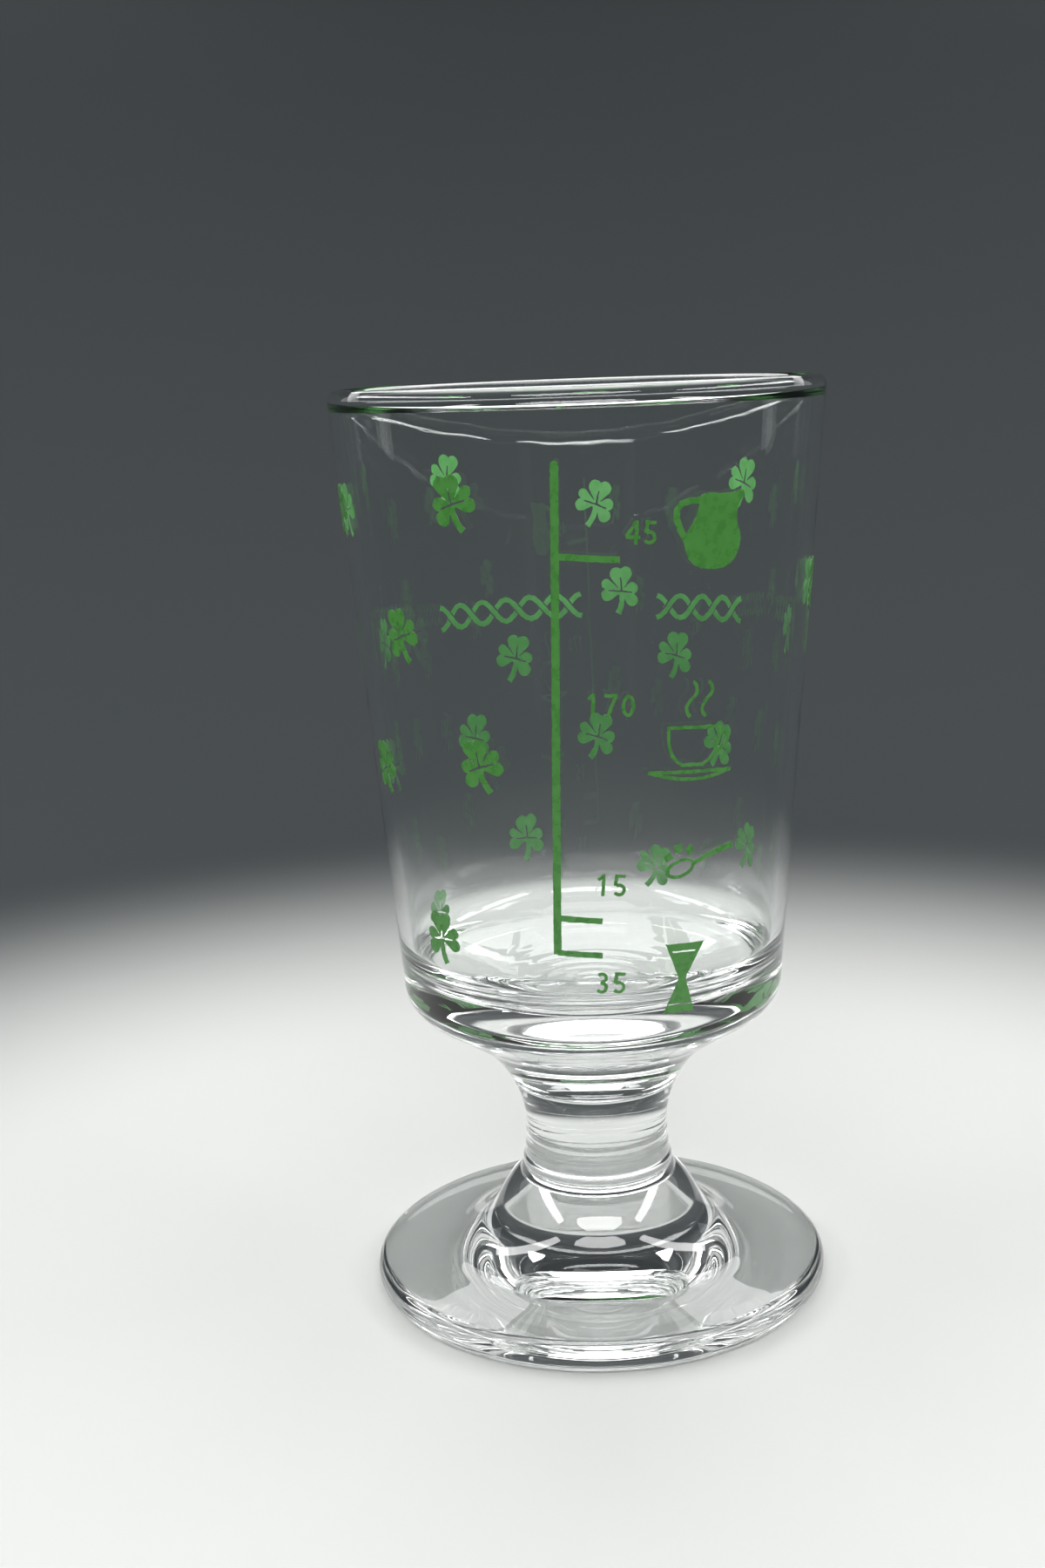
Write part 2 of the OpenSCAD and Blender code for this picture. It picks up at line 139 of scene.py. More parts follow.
def foot_side():
    """From the hollow beneath, round the edge, over the brim and up the bell."""
    dome_r = (HOLLOW_R ** 2 + HOLLOW_H ** 2) / (2 * HOLLOW_H)
    dome_middle = Vector((0, HOLLOW_H - dome_r))
    dome = arc(dome_middle, dome_r, math.pi / 2, math.pi / 2 - math.asin(HOLLOW_R / dome_r), HOLLOW_STEP)
    edge_middle = Vector((FOOT_R - EDGE_ROUND, EDGE_ROUND))
    edge = arc(edge_middle, EDGE_ROUND, -math.pi / 2, math.pi / 2 - BRIM_FALL, EDGE_STEP)
    brim_end = edge[-1]
    brim = Vector((-math.cos(BRIM_FALL), math.sin(BRIM_FALL)))
    bell_top = Vector((waist_curve(FOOT_SEAM_Z), FOOT_SEAM_Z))
    chord = bell_top - BELL_FOOT
    half = math.asin(chord.length / (2 * BELL_ROUND))
    left = Vector((-chord.y, chord.x)).normalized()
    centre = (bell_top + BELL_FOOT) / 2 + left * BELL_ROUND * math.cos(half)
    a0 = heading(BELL_FOOT - centre)
    bell = arc(centre, BELL_ROUND, a0, a0 + 2 * half)
    fall = heading(-chord) - half
    run = Vector((math.cos(fall), math.sin(fall)))
    brim_normal = Vector((-brim.y, brim.x))
    meet = BELL_FOOT - run * (BELL_FOOT - brim_end).dot(brim_normal) / run.dot(brim_normal)
    corner = (BELL_FOOT - meet).angle(brim_end - meet) / 2
    cove = round_corner(brim_end, meet, BELL_FOOT, (meet - BELL_FOOT).length * math.tan(corner), -1)
    return dome + edge + line(brim_end, cove[0]) + cove + bell


def stem_side():
    """From the foot's seam up to just above the bowl's."""
    low, high = FOOT_SEAM_Z, BOWL_SEAM_Z + SEAM_HALF_W
    steps = round((high - low) / STEM_STEP)
    heights = [low + (high - low) * i / steps for i in range(steps + 1)]
    return [Vector((stem_r(z), z)) for z in heights]


def bowl_outside():
    """From the stem's top, under the bowl, up the wall and over the rim's bead."""
    waist = Vector((WAIST_R + WAIST_ROUND, WAIST_Z))
    to_waist = waist - HEEL
    under = heading(to_waist) - math.asin(WAIST_ROUND / to_waist.length)
    start = polar(HEEL, math.sqrt(to_waist.length_squared - WAIST_ROUND ** 2), under)
    neck_low = Vector((waist_curve(BOWL_SEAM_Z + SEAM_HALF_W), BOWL_SEAM_Z + SEAM_HALF_W))
    neck = arc(waist, WAIST_ROUND, heading(neck_low - waist), heading(start - waist))
    heel = round_corner(start, HEEL, HEEL + Vector((math.sin(LEAN), math.cos(LEAN))), HEEL_ROUND, 1)
    thick = WALL * math.cos(LEAN)
    bead_end = 2 * math.pi - LEAN - math.acos((BEAD_R - thick) / BEAD_R)
    rim = arc(bead, BEAD_R, -LEAN, bead_end, BEAD_STEP)
    return neck + line(start, heel[0])[1:] + heel + line(heel[-1], rim[0])[1:] + rim


def bowl_inside(rim_end):
    """From the rim down the wall, round the corner and over the dished floor to the middle."""
    dish = Vector((0, FLOOR_Z + FLOOR_ROUND))
    base = HEEL.x - HEEL.y * WALL_SLOPE - WALL - CORNER_ROUND / math.cos(LEAN)
    # The corner's centre lies on a line along the wall, at one distance from the dish's centre
    a = 1 + WALL_SLOPE ** 2
    b = base * WALL_SLOPE - dish.y
    k = base ** 2 + dish.y ** 2 - (FLOOR_ROUND - CORNER_ROUND) ** 2
    z = (-b - math.sqrt(b * b - a * k)) / a
    centre = Vector((base + z * WALL_SLOPE, z))
    turn_in = heading(centre - dish)
    corner = arc(centre, CORNER_ROUND, -LEAN, turn_in)
    floor = arc(dish, FLOOR_ROUND, turn_in, -math.pi / 2, FLOOR_STEP)
    return line(rim_end, corner[0])[1:] + corner + floor[1:]


def glass_outline():
    """The whole outline from the axis beneath the foot to the axis in the bowl, without near doubles."""
    outside = bowl_outside()
    points = foot_side() + stem_side() + outside + bowl_inside(outside[-1])
    kept = [points[0]]
    for p in points[1:]:
        if (p - kept[-1]).length > LEAST_STEP:
            kept.append(p)
    kept[0].x = kept[-1].x = 0.0
    return kept


# geometry node trees

WELD = 0.001 * MM
SEAM_WELD = 0.002 * MM
RAGGED_DETAIL = 1.0


def node_group(name, sizes):
    """A geometry tree with a mesh and the named inputs in, and a mesh out."""
    tree = bpy.data.node_groups.new(name, "GeometryNodeTree")
    tree.interface.new_socket("Geometry", in_out="INPUT", socket_type="NodeSocketGeometry")
    for label, kind in sizes:
        tree.interface.new_socket(label, in_out="INPUT", socket_type=kind)
    tree.interface.new_socket("Geometry", in_out="OUTPUT", socket_type="NodeSocketGeometry")
    return tree, add_node(tree, "NodeGroupInput").outputs


def revolve_tree():
    """Turns an outline of points (r, 0, z) round the Z axis into a closed solid."""
    tree, given = node_group("revolve_outline", [
        ("Segments", "NodeSocketInt"), ("Chill ripple height", "NodeSocketFloat"),
        ("Chill ripple pitch", "NodeSocketFloat"), ("Ripple reach", "NodeSocketFloat"),
        ("Ripple level", "NodeSocketFloat"), ("Material", "NodeSocketMaterial")])
    size = add_node(tree, "GeometryNodeAttributeDomainSize", inputs={"Geometry": given["Geometry"]})
    columns = add_node(tree, "ShaderNodeMath", {"operation": "ADD"}, {0: given["Segments"], 1: 1})
    grid = add_node(tree, "GeometryNodeMeshGrid", inputs={
        "Vertices X": size.outputs["Point Count"], "Vertices Y": columns})
    # A grid counts its points along Y first, and the half keeps the count clear of rounding
    index = add_node(tree, "GeometryNodeInputIndex")
    middle = add_node(tree, "ShaderNodeMath", {"operation": "ADD"}, {0: index, 1: 0.5})
    share = add_node(tree, "ShaderNodeMath", {"operation": "DIVIDE"}, {0: middle, 1: columns})
    along = add_node(tree, "ShaderNodeMath", {"operation": "FLOOR"}, {0: share})
    passed = add_node(tree, "ShaderNodeMath", {"operation": "MULTIPLY"}, {0: along, 1: columns})
    turn = add_node(tree, "ShaderNodeMath", {"operation": "SUBTRACT"}, {0: index, 1: passed})
    turned = add_node(tree, "ShaderNodeMath", {"operation": "MULTIPLY"}, {0: turn, 1: 2 * math.pi})
    angle = add_node(tree, "ShaderNodeMath", {"operation": "DIVIDE"}, {0: turned, 1: given["Segments"]})
    sample = add_node(tree, "GeometryNodeSampleIndex", {"data_type": "FLOAT_VECTOR"}, {
        "Geometry": given["Geometry"], "Value": add_node(tree, "GeometryNodeInputPosition"), "Index": along})
    parts = add_node(tree, "ShaderNodeSeparateXYZ", inputs={0: sample})
    radius, height = parts.outputs[0], parts.outputs[2]
    # Fine concentric waves where the plunger chilled the floor inside the bowl
    phase = add_node(tree, "ShaderNodeMath", {"operation": "MULTIPLY"}, {0: radius, 1: 2 * math.pi})
    phase = add_node(tree, "ShaderNodeMath", {"operation": "DIVIDE"}, {
        0: phase, 1: given["Chill ripple pitch"]})
    wave = add_node(tree, "ShaderNodeMath", {"operation": "COSINE"}, {0: phase})
    reached = add_node(tree, "ShaderNodeMath", {"operation": "DIVIDE"}, {0: radius, 1: given["Ripple reach"]})
    fade = add_node(tree, "ShaderNodeMath", {"operation": "SUBTRACT"}, {0: 1.0, 1: reached})
    fade = add_node(tree, "ShaderNodeMath", {"operation": "MAXIMUM"}, {0: fade, 1: 0.0})
    wave = add_node(tree, "ShaderNodeMath", {"operation": "MULTIPLY"}, {0: wave, 1: fade})
    above = add_node(tree, "ShaderNodeMath", {"operation": "GREATER_THAN"}, {
        0: height, 1: given["Ripple level"]})
    crest = add_node(tree, "ShaderNodeMath", {"operation": "MULTIPLY"}, {
        0: above, 1: given["Chill ripple height"]})
    rise = add_node(tree, "ShaderNodeMath", {"operation": "MULTIPLY"}, {0: wave, 1: crest})
    cosine = add_node(tree, "ShaderNodeMath", {"operation": "COSINE"}, {0: angle})
    sine = add_node(tree, "ShaderNodeMath", {"operation": "SINE"}, {0: angle})
    place = add_node(tree, "ShaderNodeCombineXYZ", inputs={
        0: add_node(tree, "ShaderNodeMath", {"operation": "MULTIPLY"}, {0: radius, 1: cosine}),
        1: add_node(tree, "ShaderNodeMath", {"operation": "MULTIPLY"}, {0: radius, 1: sine}),
        2: add_node(tree, "ShaderNodeMath", {"operation": "ADD"}, {0: height, 1: rise})})
    put = add_node(tree, "GeometryNodeSetPosition", inputs={"Geometry": grid, "Position": place})
    closed = add_node(tree, "GeometryNodeMergeByDistance", inputs={"Geometry": put, "Distance": SEAM_WELD})
    whole = add_node(tree, "GeometryNodeRealizeInstances", inputs={"Geometry": closed})
    finish = add_node(tree, "GeometryNodeSetMaterial", inputs={
        "Geometry": whole, "Material": given["Material"]})
    add_node(tree, "NodeGroupOutput", inputs={0: finish})
    return tree


def film_tree():
    """Thickens a flat drawing (x along the wall, y its height) to a film and lays it on the bowl's cone."""
    tree, given = node_group("enamel_film_on_cone", [
        ("Film", "NodeSocketFloat"), ("Bite", "NodeSocketFloat"), ("Unroll radius", "NodeSocketFloat"),
        ("Middle angle", "NodeSocketFloat"), ("Heel radius", "NodeSocketFloat"),
        ("Heel height", "NodeSocketFloat"), ("Wall slope", "NodeSocketFloat"),
        ("Ragged edge", "NodeSocketFloat"), ("Ragged pitch", "NodeSocketFloat"),
        ("Outer face", "NodeSocketMaterial"), ("Glass face", "NodeSocketMaterial")])
    # The screen's mesh leaves a slightly ragged outline: noise from -1 to 1, only in the drawing's plane
    scale = add_node(tree, "ShaderNodeMath", {"operation": "DIVIDE"}, {0: 1.0, 1: given["Ragged pitch"]})
    ragged = add_node(tree, "ShaderNodeTexNoise", inputs={"Scale": scale, "Detail": RAGGED_DETAIL})
    centred = add_node(tree, "ShaderNodeVectorMath", {"operation": "SUBTRACT"}, {
        0: ragged.outputs["Color"], 1: (0.5, 0.5, 0.5)})
    shift = add_node(tree, "ShaderNodeVectorMath", {"operation": "MULTIPLY"}, {
        0: centred, 1: (2.0, 2.0, 0.0)})
    sized = add_node(tree, "ShaderNodeVectorMath", {"operation": "SCALE"}, {
        0: shift, "Scale": given["Ragged edge"]})
    drawing = add_node(tree, "GeometryNodeSetPosition", inputs={
        "Geometry": given["Geometry"], "Offset": sized})
    up = add_node(tree, "ShaderNodeCombineXYZ", inputs={2: 1.0})
    thick = add_node(tree, "ShaderNodeMath", {"operation": "ADD"}, {0: given["Film"], 1: given["Bite"]})
    raised = add_node(tree, "GeometryNodeExtrudeMesh", inputs={
        "Mesh": drawing, "Offset": up, "Offset Scale": thick, "Individual": False})
    under = add_node(tree, "GeometryNodeFlipFaces", inputs={"Mesh": drawing})
    both = add_node(tree, "GeometryNodeJoinGeometry", inputs={0: raised})
    tree.links.new(under.outputs[0], both.inputs[0])
    closed = add_node(tree, "GeometryNodeMergeByDistance", inputs={"Geometry": both, "Distance": WELD})
    place = add_node(tree, "ShaderNodeSeparateXYZ", inputs={0: add_node(tree, "GeometryNodeInputPosition")})
    x, y, depth = place.outputs[0], place.outputs[1], place.outputs[2]
    # The wall's radius at the drawing's height, less the bite into the glass
    above = add_node(tree, "ShaderNodeMath", {"operation": "SUBTRACT"}, {0: y, 1: given["Heel height"]})
    wider = add_node(tree, "ShaderNodeMath", {"operation": "MULTIPLY"}, {0: above, 1: given["Wall slope"]})
    wall = add_node(tree, "ShaderNodeMath", {"operation": "ADD"}, {0: given["Heel radius"], 1: wider})
    outer = add_node(tree, "ShaderNodeMath", {"operation": "ADD"}, {0: wall, 1: depth})
    radius = add_node(tree, "ShaderNodeMath", {"operation": "SUBTRACT"}, {0: outer, 1: given["Bite"]})
    turn = add_node(tree, "ShaderNodeMath", {"operation": "DIVIDE"}, {0: x, 1: given["Unroll radius"]})
    angle = add_node(tree, "ShaderNodeMath", {"operation": "ADD"}, {0: given["Middle angle"], 1: turn})
    sine = add_node(tree, "ShaderNodeMath", {"operation": "SINE"}, {0: angle})
    cosine = add_node(tree, "ShaderNodeMath", {"operation": "COSINE"}, {0: angle})
    forwards = add_node(tree, "ShaderNodeMath", {"operation": "MULTIPLY"}, {0: radius, 1: cosine})
    laid = add_node(tree, "ShaderNodeCombineXYZ", inputs={
        0: add_node(tree, "ShaderNodeMath", {"operation": "MULTIPLY"}, {0: radius, 1: sine}),
        1: add_node(tree, "ShaderNodeMath", {"operation": "MULTIPLY"}, {0: forwards, 1: -1.0}), 2: y})
    put = add_node(tree, "GeometryNodeSetPosition", inputs={"Geometry": closed, "Position": laid})
    whole = add_node(tree, "GeometryNodeRealizeInstances", inputs={"Geometry": put})
    hidden = add_node(tree, "GeometryNodeSetMaterial", inputs={
        "Geometry": whole, "Material": given["Glass face"]})
    outside = add_node(tree, "FunctionNodeBooleanMath", {"operation": "OR"}, {
        0: raised.outputs["Top"], 1: raised.outputs["Side"]})
    finish = add_node(tree, "GeometryNodeSetMaterial", inputs={
        "Geometry": hidden, "Selection": outside, "Material": given["Outer face"]})
    add_node(tree, "NodeGroupOutput", inputs={0: finish})
    return tree


def grown(name, mesh, tree, values):
    """The plain mesh piece that a tree makes of a mesh."""
    piece = bpy.data.objects.new(name, mesh)
    bpy.context.scene.collection.objects.link(piece)
    modifier = piece.modifiers.new("shape", "NODES")
    modifier.node_group = tree
    for item in tree.interface.items_tree:
        if item.in_out == "INPUT" and item.name in values:
            modifier[item.identifier] = values[item.name]
    bpy.context.view_layer.update()
    result = bpy.data.meshes.new_from_object(piece.evaluated_get(bpy.context.evaluated_depsgraph_get()))
    piece.modifiers.remove(modifier)
    piece.data = result
    result.name = name
    return piece


# materials

GLASS_IOR = ENAMEL_IOR = 1.52
GLASS_TINT = "#fbfdfc"
# Patches per metre: mould waviness about 9 mm across and handling haze about 14 mm across
WAVE_SCALE, WAVE_DETAIL, WAVE_ROUGHNESS, WAVE_DEPTH = 110.0, 1.0, 0.4, 0.03 * MM
HAZE_SCALE, HAZE_DETAIL, HAZE_FROM, HAZE_TO, HAZE_ROUGHNESS = 70.0, 3.0, 0.5, 0.8, 0.02
# Patches per metre: thick and thin ink about 1.5 mm across and the screen's grain drawn 0.3 mm coarse
MOTTLE_SCALE, MOTTLE_DETAIL, MOTTLE_ROUGHNESS = 700.0, 2.0, 0.12
MOTTLE_DEEP, MOTTLE_BODY, MOTTLE_PALE = 0.3, 0.5, 0.72
GRAIN_SCALE, GRAIN_DETAIL, GRAIN_STRENGTH, GRAIN_DEPTH = 3300.0, 1.0, 0.4, 0.02 * MM


def material(name):
    made = bpy.data.materials.new(name)
    made.use_nodes = True
    tree = made.node_tree
    return made, tree, tree.nodes["Principled BSDF"]


def soda_lime_glass():
    """Soda-lime glass, pressed and fire-polished: clear, glossy, with a pressed surface's slow waviness."""
    made, tree, shader = material("soda_lime_glass_pressed")
    shader.inputs["Base Color"].default_value = linear(GLASS_TINT)
    shader.inputs["Transmission Weight"].default_value = 1.0
    shader.inputs["IOR"].default_value = GLASS_IOR
    place = add_node(tree, "ShaderNodeTexCoord").outputs["Object"]
    wave = add_node(tree, "ShaderNodeTexNoise", inputs={
        "Vector": place, "Scale": WAVE_SCALE, "Detail": WAVE_DETAIL, "Roughness": WAVE_ROUGHNESS})
    bump = add_node(tree, "ShaderNodeBump", inputs={
        "Height": wave.outputs["Fac"], "Strength": 1.0, "Distance": WAVE_DEPTH})
    tree.links.new(bump.outputs[0], shader.inputs["Normal"])
    haze = add_node(tree, "ShaderNodeTexNoise", inputs={
        "Vector": place, "Scale": HAZE_SCALE, "Detail": HAZE_DETAIL})
    rough = add_node(tree, "ShaderNodeMapRange", inputs={
        "Value": haze.outputs["Fac"], "From Min": HAZE_FROM, "From Max": HAZE_TO,
        "To Min": 0.0, "To Max": HAZE_ROUGHNESS})
    tree.links.new(rough.outputs[0], shader.inputs["Roughness"])
    return made


def fired_enamel(name, body, pale, deep, roughness):
    """Green glass enamel, screen-printed and fired: opaque, glossy, a little mottled where ink lay thin."""
    made, tree, shader = material(name)
    shader.inputs["IOR"].default_value = ENAMEL_IOR
    place = add_node(tree, "ShaderNodeTexCoord").outputs["Object"]
    mottle = add_node(tree, "ShaderNodeTexNoise", inputs={
        "Vector": place, "Scale": MOTTLE_SCALE, "Detail": MOTTLE_DETAIL})
    shade = add_node(tree, "ShaderNodeValToRGB", inputs={"Fac": mottle.outputs["Fac"]})
    ramp = shade.color_ramp.elements
    ramp[0].position, ramp[0].color = MOTTLE_DEEP, linear(deep)
    ramp[1].position, ramp[1].color = MOTTLE_PALE, linear(pale)
    ramp.new(MOTTLE_BODY).color = linear(body)
    tree.links.new(shade.outputs["Color"], shader.inputs["Base Color"])
    grain = add_node(tree, "ShaderNodeTexNoise", inputs={
        "Vector": place, "Scale": GRAIN_SCALE, "Detail": GRAIN_DETAIL})
    bump = add_node(tree, "ShaderNodeBump", inputs={
        "Height": grain.outputs["Fac"], "Strength": GRAIN_STRENGTH, "Distance": GRAIN_DEPTH})
    tree.links.new(bump.outputs[0], shader.inputs["Normal"])
    rough = add_node(tree, "ShaderNodeMapRange", inputs={
        "Value": mottle.outputs["Fac"], "To Min": roughness, "To Max": roughness + MOTTLE_ROUGHNESS})
    tree.links.new(rough.outputs[0], shader.inputs["Roughness"])
    return made


glass = soda_lime_glass()
enamel_outside = fired_enamel(
    "fired_enamel_outer_face", body="#437f38", pale="#4a873f", deep="#3c7733", roughness=0.22)
# The face on the glass is a lighter copy of the same enamel: painted light that makes up for the light the
# glass in front takes, so that it looks the same green through it
enamel_glass_side_painted_lighter = fired_enamel(
    "fired_enamel_face_on_glass_painted_lighter", body="#74cf70", pale="#7dd679", deep="#6bc868", roughness=0.3)


# the glass: foot, stem and bowl fused into one

GLASS_SEGMENTS = 256
RIPPLE_H, RIPPLE_PITCH, RIPPLE_REACH, RIPPLE_LEVEL = 0.08, 2.6, 21, 49
GLASS_SHARP_DEG, FILM_SHARP_DEG = 40, 30


def smooth_with_sharp(mesh, degrees):
    mesh.shade_smooth()
    mesh.set_sharp_from_angle(angle=math.radians(degrees))


def faces_outwards(piece):
    """Turns a closed piece's faces to its outside."""
    mesh = bmesh.new()
    mesh.from_mesh(piece.data)
    bmesh.ops.recalc_face_normals(mesh, faces=mesh.faces)
    if mesh.calc_volume(signed=True) < 0:
        bmesh.ops.reverse_faces(mesh, faces=mesh.faces)
    mesh.to_mesh(piece.data)
    mesh.free()


outline = [(p.x * MM, 0, p.y * MM) for p in glass_outline()]
outline_mesh = bpy.data.meshes.new("glass_outline")
outline_mesh.from_pydata(outline, [(i, i + 1) for i in range(len(outline) - 1)], [])
glass_piece = grown("pressed_glass", outline_mesh, revolve_tree(), {
    "Segments": GLASS_SEGMENTS, "Chill ripple height": RIPPLE_H * MM, "Chill ripple pitch": RIPPLE_PITCH * MM,
    "Ripple reach": RIPPLE_REACH * MM, "Ripple level": RIPPLE_LEVEL * MM, "Material": glass})
smooth_with_sharp(glass_piece.data, GLASS_SHARP_DEG)
faces_outwards(glass_piece)
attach(glass_piece, "root")
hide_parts("bowl", "stem", "foot")


# the enamel prints, sizes in mm

FILM, BITE = 0.08, 0.02
UNROLL_R = 34.0
STRIP = 0.8
RAGGED_STEP, RAGGED_EDGE, RAGGED_PITCH = 0.3, 0.12, 0.8
# A face of the CAD film is its outer one where its normal comes this near to straight outwards
OUTER_COSINE = 0.5
FLAT_DEG = 1
CUT_TOLERANCE = 1e-8


def outer_faces(sheet):
    """Keeps only a print's outer faces."""
    sheet.normal_update()
    others = []
    for face in sheet.faces:
        c = face.calc_center_median()
        if face.normal.dot(Vector((c.x, c.y, 0)).normalized()) < OUTER_COSINE:
            others.append(face)
    bmesh.ops.delete(sheet, geom=others, context="FACES")


def unrolled(node):
    """A print's outer face from its CAD solid, laid flat and cut in upright strips to follow the cone."""
    sheet = bmesh.new()
    sheet.from_mesh(node.data)
    bmesh.ops.remove_doubles(sheet, verts=sheet.verts, dist=WELD)
    outer_faces(sheet)
    middle = sum((v.co for v in sheet.verts), Vector()) / len(sheet.verts)
    middle_angle = math.atan2(middle.x, -middle.y)
    for v in sheet.verts:
        turn = math.atan2(v.co.x, -v.co.y) - middle_angle
        turn = (turn + math.pi) % (2 * math.pi) - math.pi
        v.co = Vector((turn * UNROLL_R * MM, v.co.z, 0))
    bmesh.ops.dissolve_limit(sheet, angle_limit=math.radians(FLAT_DEG), verts=sheet.verts, edges=sheet.edges)
    low = min(v.co.x for v in sheet.verts)
    high = max(v.co.x for v in sheet.verts)
    cuts = int((high - low) / (STRIP * MM))
    for i in range(1, cuts + 1):
        x = low + (high - low) * i / (cuts + 1)
        bmesh.ops.bisect_plane(sheet, geom=sheet.verts[:] + sheet.edges[:] + sheet.faces[:],
                               dist=CUT_TOLERANCE, plane_co=(x, 0, 0), plane_no=(1, 0, 0))
    for edge in [e for e in sheet.edges if e.is_boundary and e.calc_length() > RAGGED_STEP * MM]:
        bmesh.ops.subdivide_edges(sheet, edges=[edge], cuts=int(edge.calc_length() / (RAGGED_STEP * MM)))
    for face in sheet.faces:
        face.normal_update()
        if face.normal.z < 0:
            face.normal_flip()
    flat = bpy.data.meshes.new(node.name + "_flat")
    sheet.to_mesh(flat)
    sheet.free()
    return flat, middle_angle


film = film_tree()
for name in sorted(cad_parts):
    if name in ("bowl", "stem", "foot"):
        continue
    flat, middle_angle = unrolled(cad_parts[name])
    piece = grown(name + "_enamel", flat, film, {
        "Film": FILM * MM, "Bite": BITE * MM, "Unroll radius": UNROLL_R * MM, "Middle angle": middle_angle,
        "Heel radius": HEEL.x * MM, "Heel height": HEEL.y * MM, "Wall slope": WALL_SLOPE,
        "Ragged edge": RAGGED_EDGE * MM, "Ragged pitch": RAGGED_PITCH * MM,
        "Outer face": enamel_outside, "Glass face": enamel_glass_side_painted_lighter})
    smooth_with_sharp(piece.data, FILM_SHARP_DEG)
    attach(piece, "root")
    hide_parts(name)


# floor and backdrop, in metres

PAPER_R, PAPER_ROUND, PAPER_TOP = 0.52, 0.26, 0.5
PAPER_MIDDLE_R, PAPER_GAP = 0.1, 0.05 * MM
PAPER_ARC_PARTS, PAPER_SEGMENTS = 16, 128
PALE_TO, DARK_FROM = 0.12, 0.30
PAPER_ROUGHNESS, PAPER_IOR = 0.85, 1.3
PALE_PAPER, DARK_PAPER = "#cdcecc", "#3a3e40"


def turned_sheet(name, points, segments):
    """An open sheet turned round the Z axis; the points are (r, z)."""
    sheet = bmesh.new()
    turns = [2 * math.pi * k / segments for k in range(segments)]
    rings = [[sheet.verts.new((r * math.cos(a), r * math.sin(a), z)) for a in turns] for r, z in points[1:]]
    centre = sheet.verts.new((0, 0, points[0][1]))
    for k in range(segments):
        after = (k + 1) % segments
        sheet.faces.new((centre, rings[0][k], rings[0][after]))
        for a, b in zip(rings, rings[1:]):
            sheet.faces.new((a[k], b[k], b[after], a[after]))
    mesh = bpy.data.meshes.new(name)
    sheet.to_mesh(mesh)
    sheet.free()
    mesh.shade_smooth()
    made = bpy.data.objects.new(name, mesh)
    bpy.context.scene.collection.objects.link(made)
    return made


def backdrop_paper():
    """Matt seamless paper: pale round the glass, shading to a dark neutral grey behind it."""
    made, tree, shader = material("seamless_paper")
    shader.inputs["Roughness"].default_value = PAPER_ROUGHNESS
    shader.inputs["IOR"].default_value = PAPER_IOR
    place = add_node(tree, "ShaderNodeTexCoord").outputs["Object"]
    across = add_node(tree, "ShaderNodeVectorMath", {"operation": "MULTIPLY"}, {0: place, 1: (1, 1, 0)})
    distance = add_node(tree, "ShaderNodeVectorMath", {"operation": "LENGTH"}, {0: across})
    far = add_node(tree, "ShaderNodeMapRange", {"interpolation_type": "SMOOTHSTEP"}, {
        "Value": distance.outputs["Value"], "From Min": PALE_TO, "From Max": DARK_FROM})
    shade = add_node(tree, "ShaderNodeValToRGB", inputs={"Fac": far})
    shade.color_ramp.elements[0].color = linear(PALE_PAPER)
    shade.color_ramp.elements[1].color = linear(DARK_PAPER)
    tree.links.new(shade.outputs["Color"], shader.inputs["Base Color"])
    return made


bend_r = PAPER_R - PAPER_ROUND
paper_points = [(0, -PAPER_GAP), (PAPER_MIDDLE_R, -PAPER_GAP), (bend_r, -PAPER_GAP)]
for i in range(1, PAPER_ARC_PARTS + 1):
    a = math.pi / 2 * i / PAPER_ARC_PARTS
    paper_points.append((bend_r + PAPER_ROUND * math.sin(a), PAPER_ROUND * (1 - math.cos(a)) - PAPER_GAP))
paper_points.append((PAPER_R, PAPER_TOP))
sweep = turned_sheet("paper_sweep", paper_points, PAPER_SEGMENTS)
sweep.data.materials.append(backdrop_paper())


# light

# Name, place, the point that it faces and size, in metres, and power in watts
SOFTBOXES = (
    ("overhead_softbox", (0.0, 0.0, 0.95), (0, 0, 0), (0.5, 0.5), 1.6),
    ("left_strip", (-0.40, -0.04, 0.36), (0, -0.02, 0.1), (0.62, 0.07), 1.5),
    ("right_strip", (0.40, -0.04, 0.36), (0, -0.02, 0.1), (0.62, 0.07), 1.5),
    ("left_rim_strip", (-0.35, 0.24, 0.30), (0, 0, 0.09), (0.09, 0.46), 0.09),
    ("right_rim_strip", (0.35, 0.24, 0.30), (0, 0, 0.09), (0.09, 0.46), 0.09),
    ("front_fill", (0.0, -0.46, 0.40), (0, 0, 0.08), (0.5, 0.14), 2.3),
    ("back_fill", (0.0, 0.36, 0.46), (0, 0, 0.08), (0.5, 0.3), 1.4),
)
WORLD_COLOUR, WORLD_STRENGTH = "#9a9c9d", 0.5

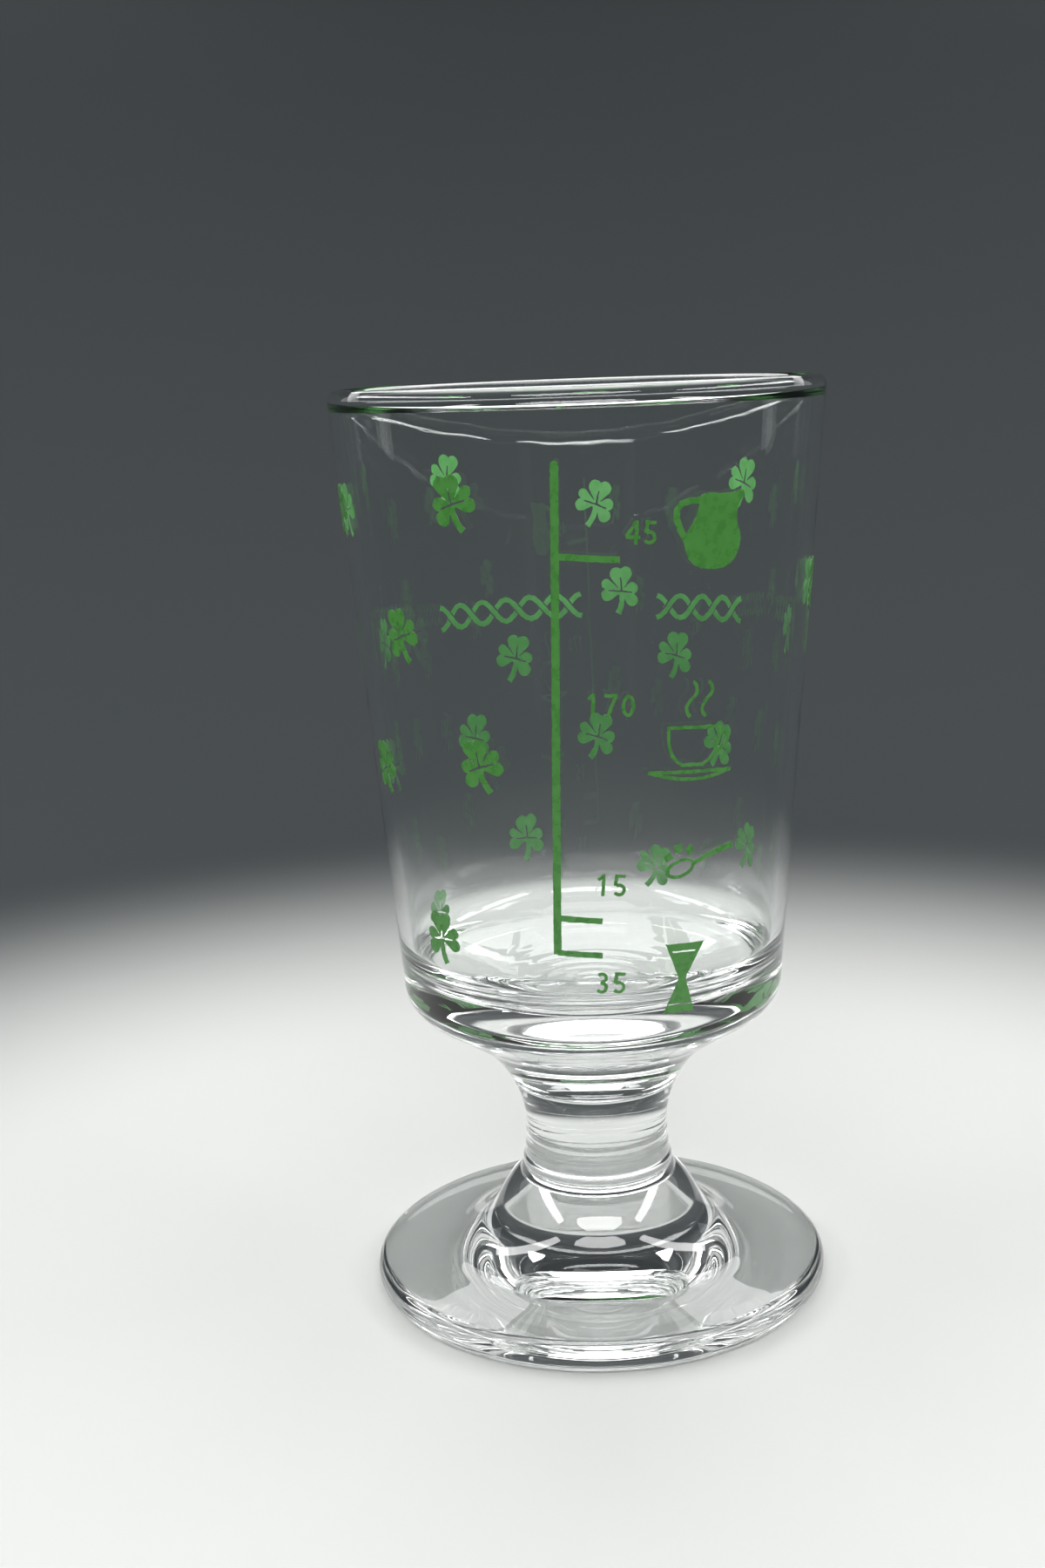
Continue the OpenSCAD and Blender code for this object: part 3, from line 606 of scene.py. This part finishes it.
for name, place, target, size, watts in SOFTBOXES:
    lamp = bpy.data.lights.new(name, "AREA")
    lamp.shape = "RECTANGLE"
    lamp.size, lamp.size_y = size
    lamp.energy = watts
    softbox = bpy.data.objects.new(name, lamp)
    bpy.context.scene.collection.objects.link(softbox)
    softbox.location = place
    softbox.rotation_euler = (Vector(target) - Vector(place)).to_track_quat("-Z", "Y").to_euler()
    softbox.visible_camera = False

world = bpy.data.worlds.new("studio")
world.use_nodes = True
world.node_tree.nodes["Background"].inputs["Color"].default_value = linear(WORLD_COLOUR)
world.node_tree.nodes["Background"].inputs["Strength"].default_value = WORLD_STRENGTH
bpy.context.scene.world = world


# camera fitted to the photograph's rim, foot and outline

# In metres and radians where the name gives no other unit
FOCAL_PX, PHOTO_H_PX, SENSOR_H_MM = 2210.3, 1800, 36
EYE, CLIP_START = Vector((0, -0.30144, 0.15064)), 0.01
PAN, PITCH, ROLL = -0.0342, 0.2183, 0.0366


def photo_camera():
    forward = Vector((math.sin(PAN) * math.cos(PITCH), math.cos(PAN) * math.cos(PITCH), -math.sin(PITCH)))
    level = Vector((math.cos(PAN), -math.sin(PAN), 0))
    upward = level.cross(forward)
    right = math.cos(ROLL) * level - math.sin(ROLL) * upward
    top = math.sin(ROLL) * level + math.cos(ROLL) * upward
    lens = bpy.data.cameras.new("photo_camera")
    lens.sensor_fit = "VERTICAL"
    lens.sensor_height = SENSOR_H_MM
    lens.lens = FOCAL_PX / PHOTO_H_PX * SENSOR_H_MM
    lens.clip_start = CLIP_START
    made = bpy.data.objects.new("photo_camera", lens)
    bpy.context.scene.collection.objects.link(made)
    turned = Matrix((right, top, -forward)).transposed()
    made.matrix_world = Matrix.Translation(EYE) @ turned.to_4x4()
    bpy.context.scene.camera = made


# Light passes many faces of the clear glass, so its paths are longer than Blender's own
GLASS_BOUNCES, GLOSSY_BOUNCES = 24, 12

photo_camera()
scene = bpy.context.scene
scene.view_settings.view_transform = "Standard"
scene.cycles.max_bounces = GLASS_BOUNCES
scene.cycles.transmission_bounces = GLASS_BOUNCES
scene.cycles.glossy_bounces = GLOSSY_BOUNCES
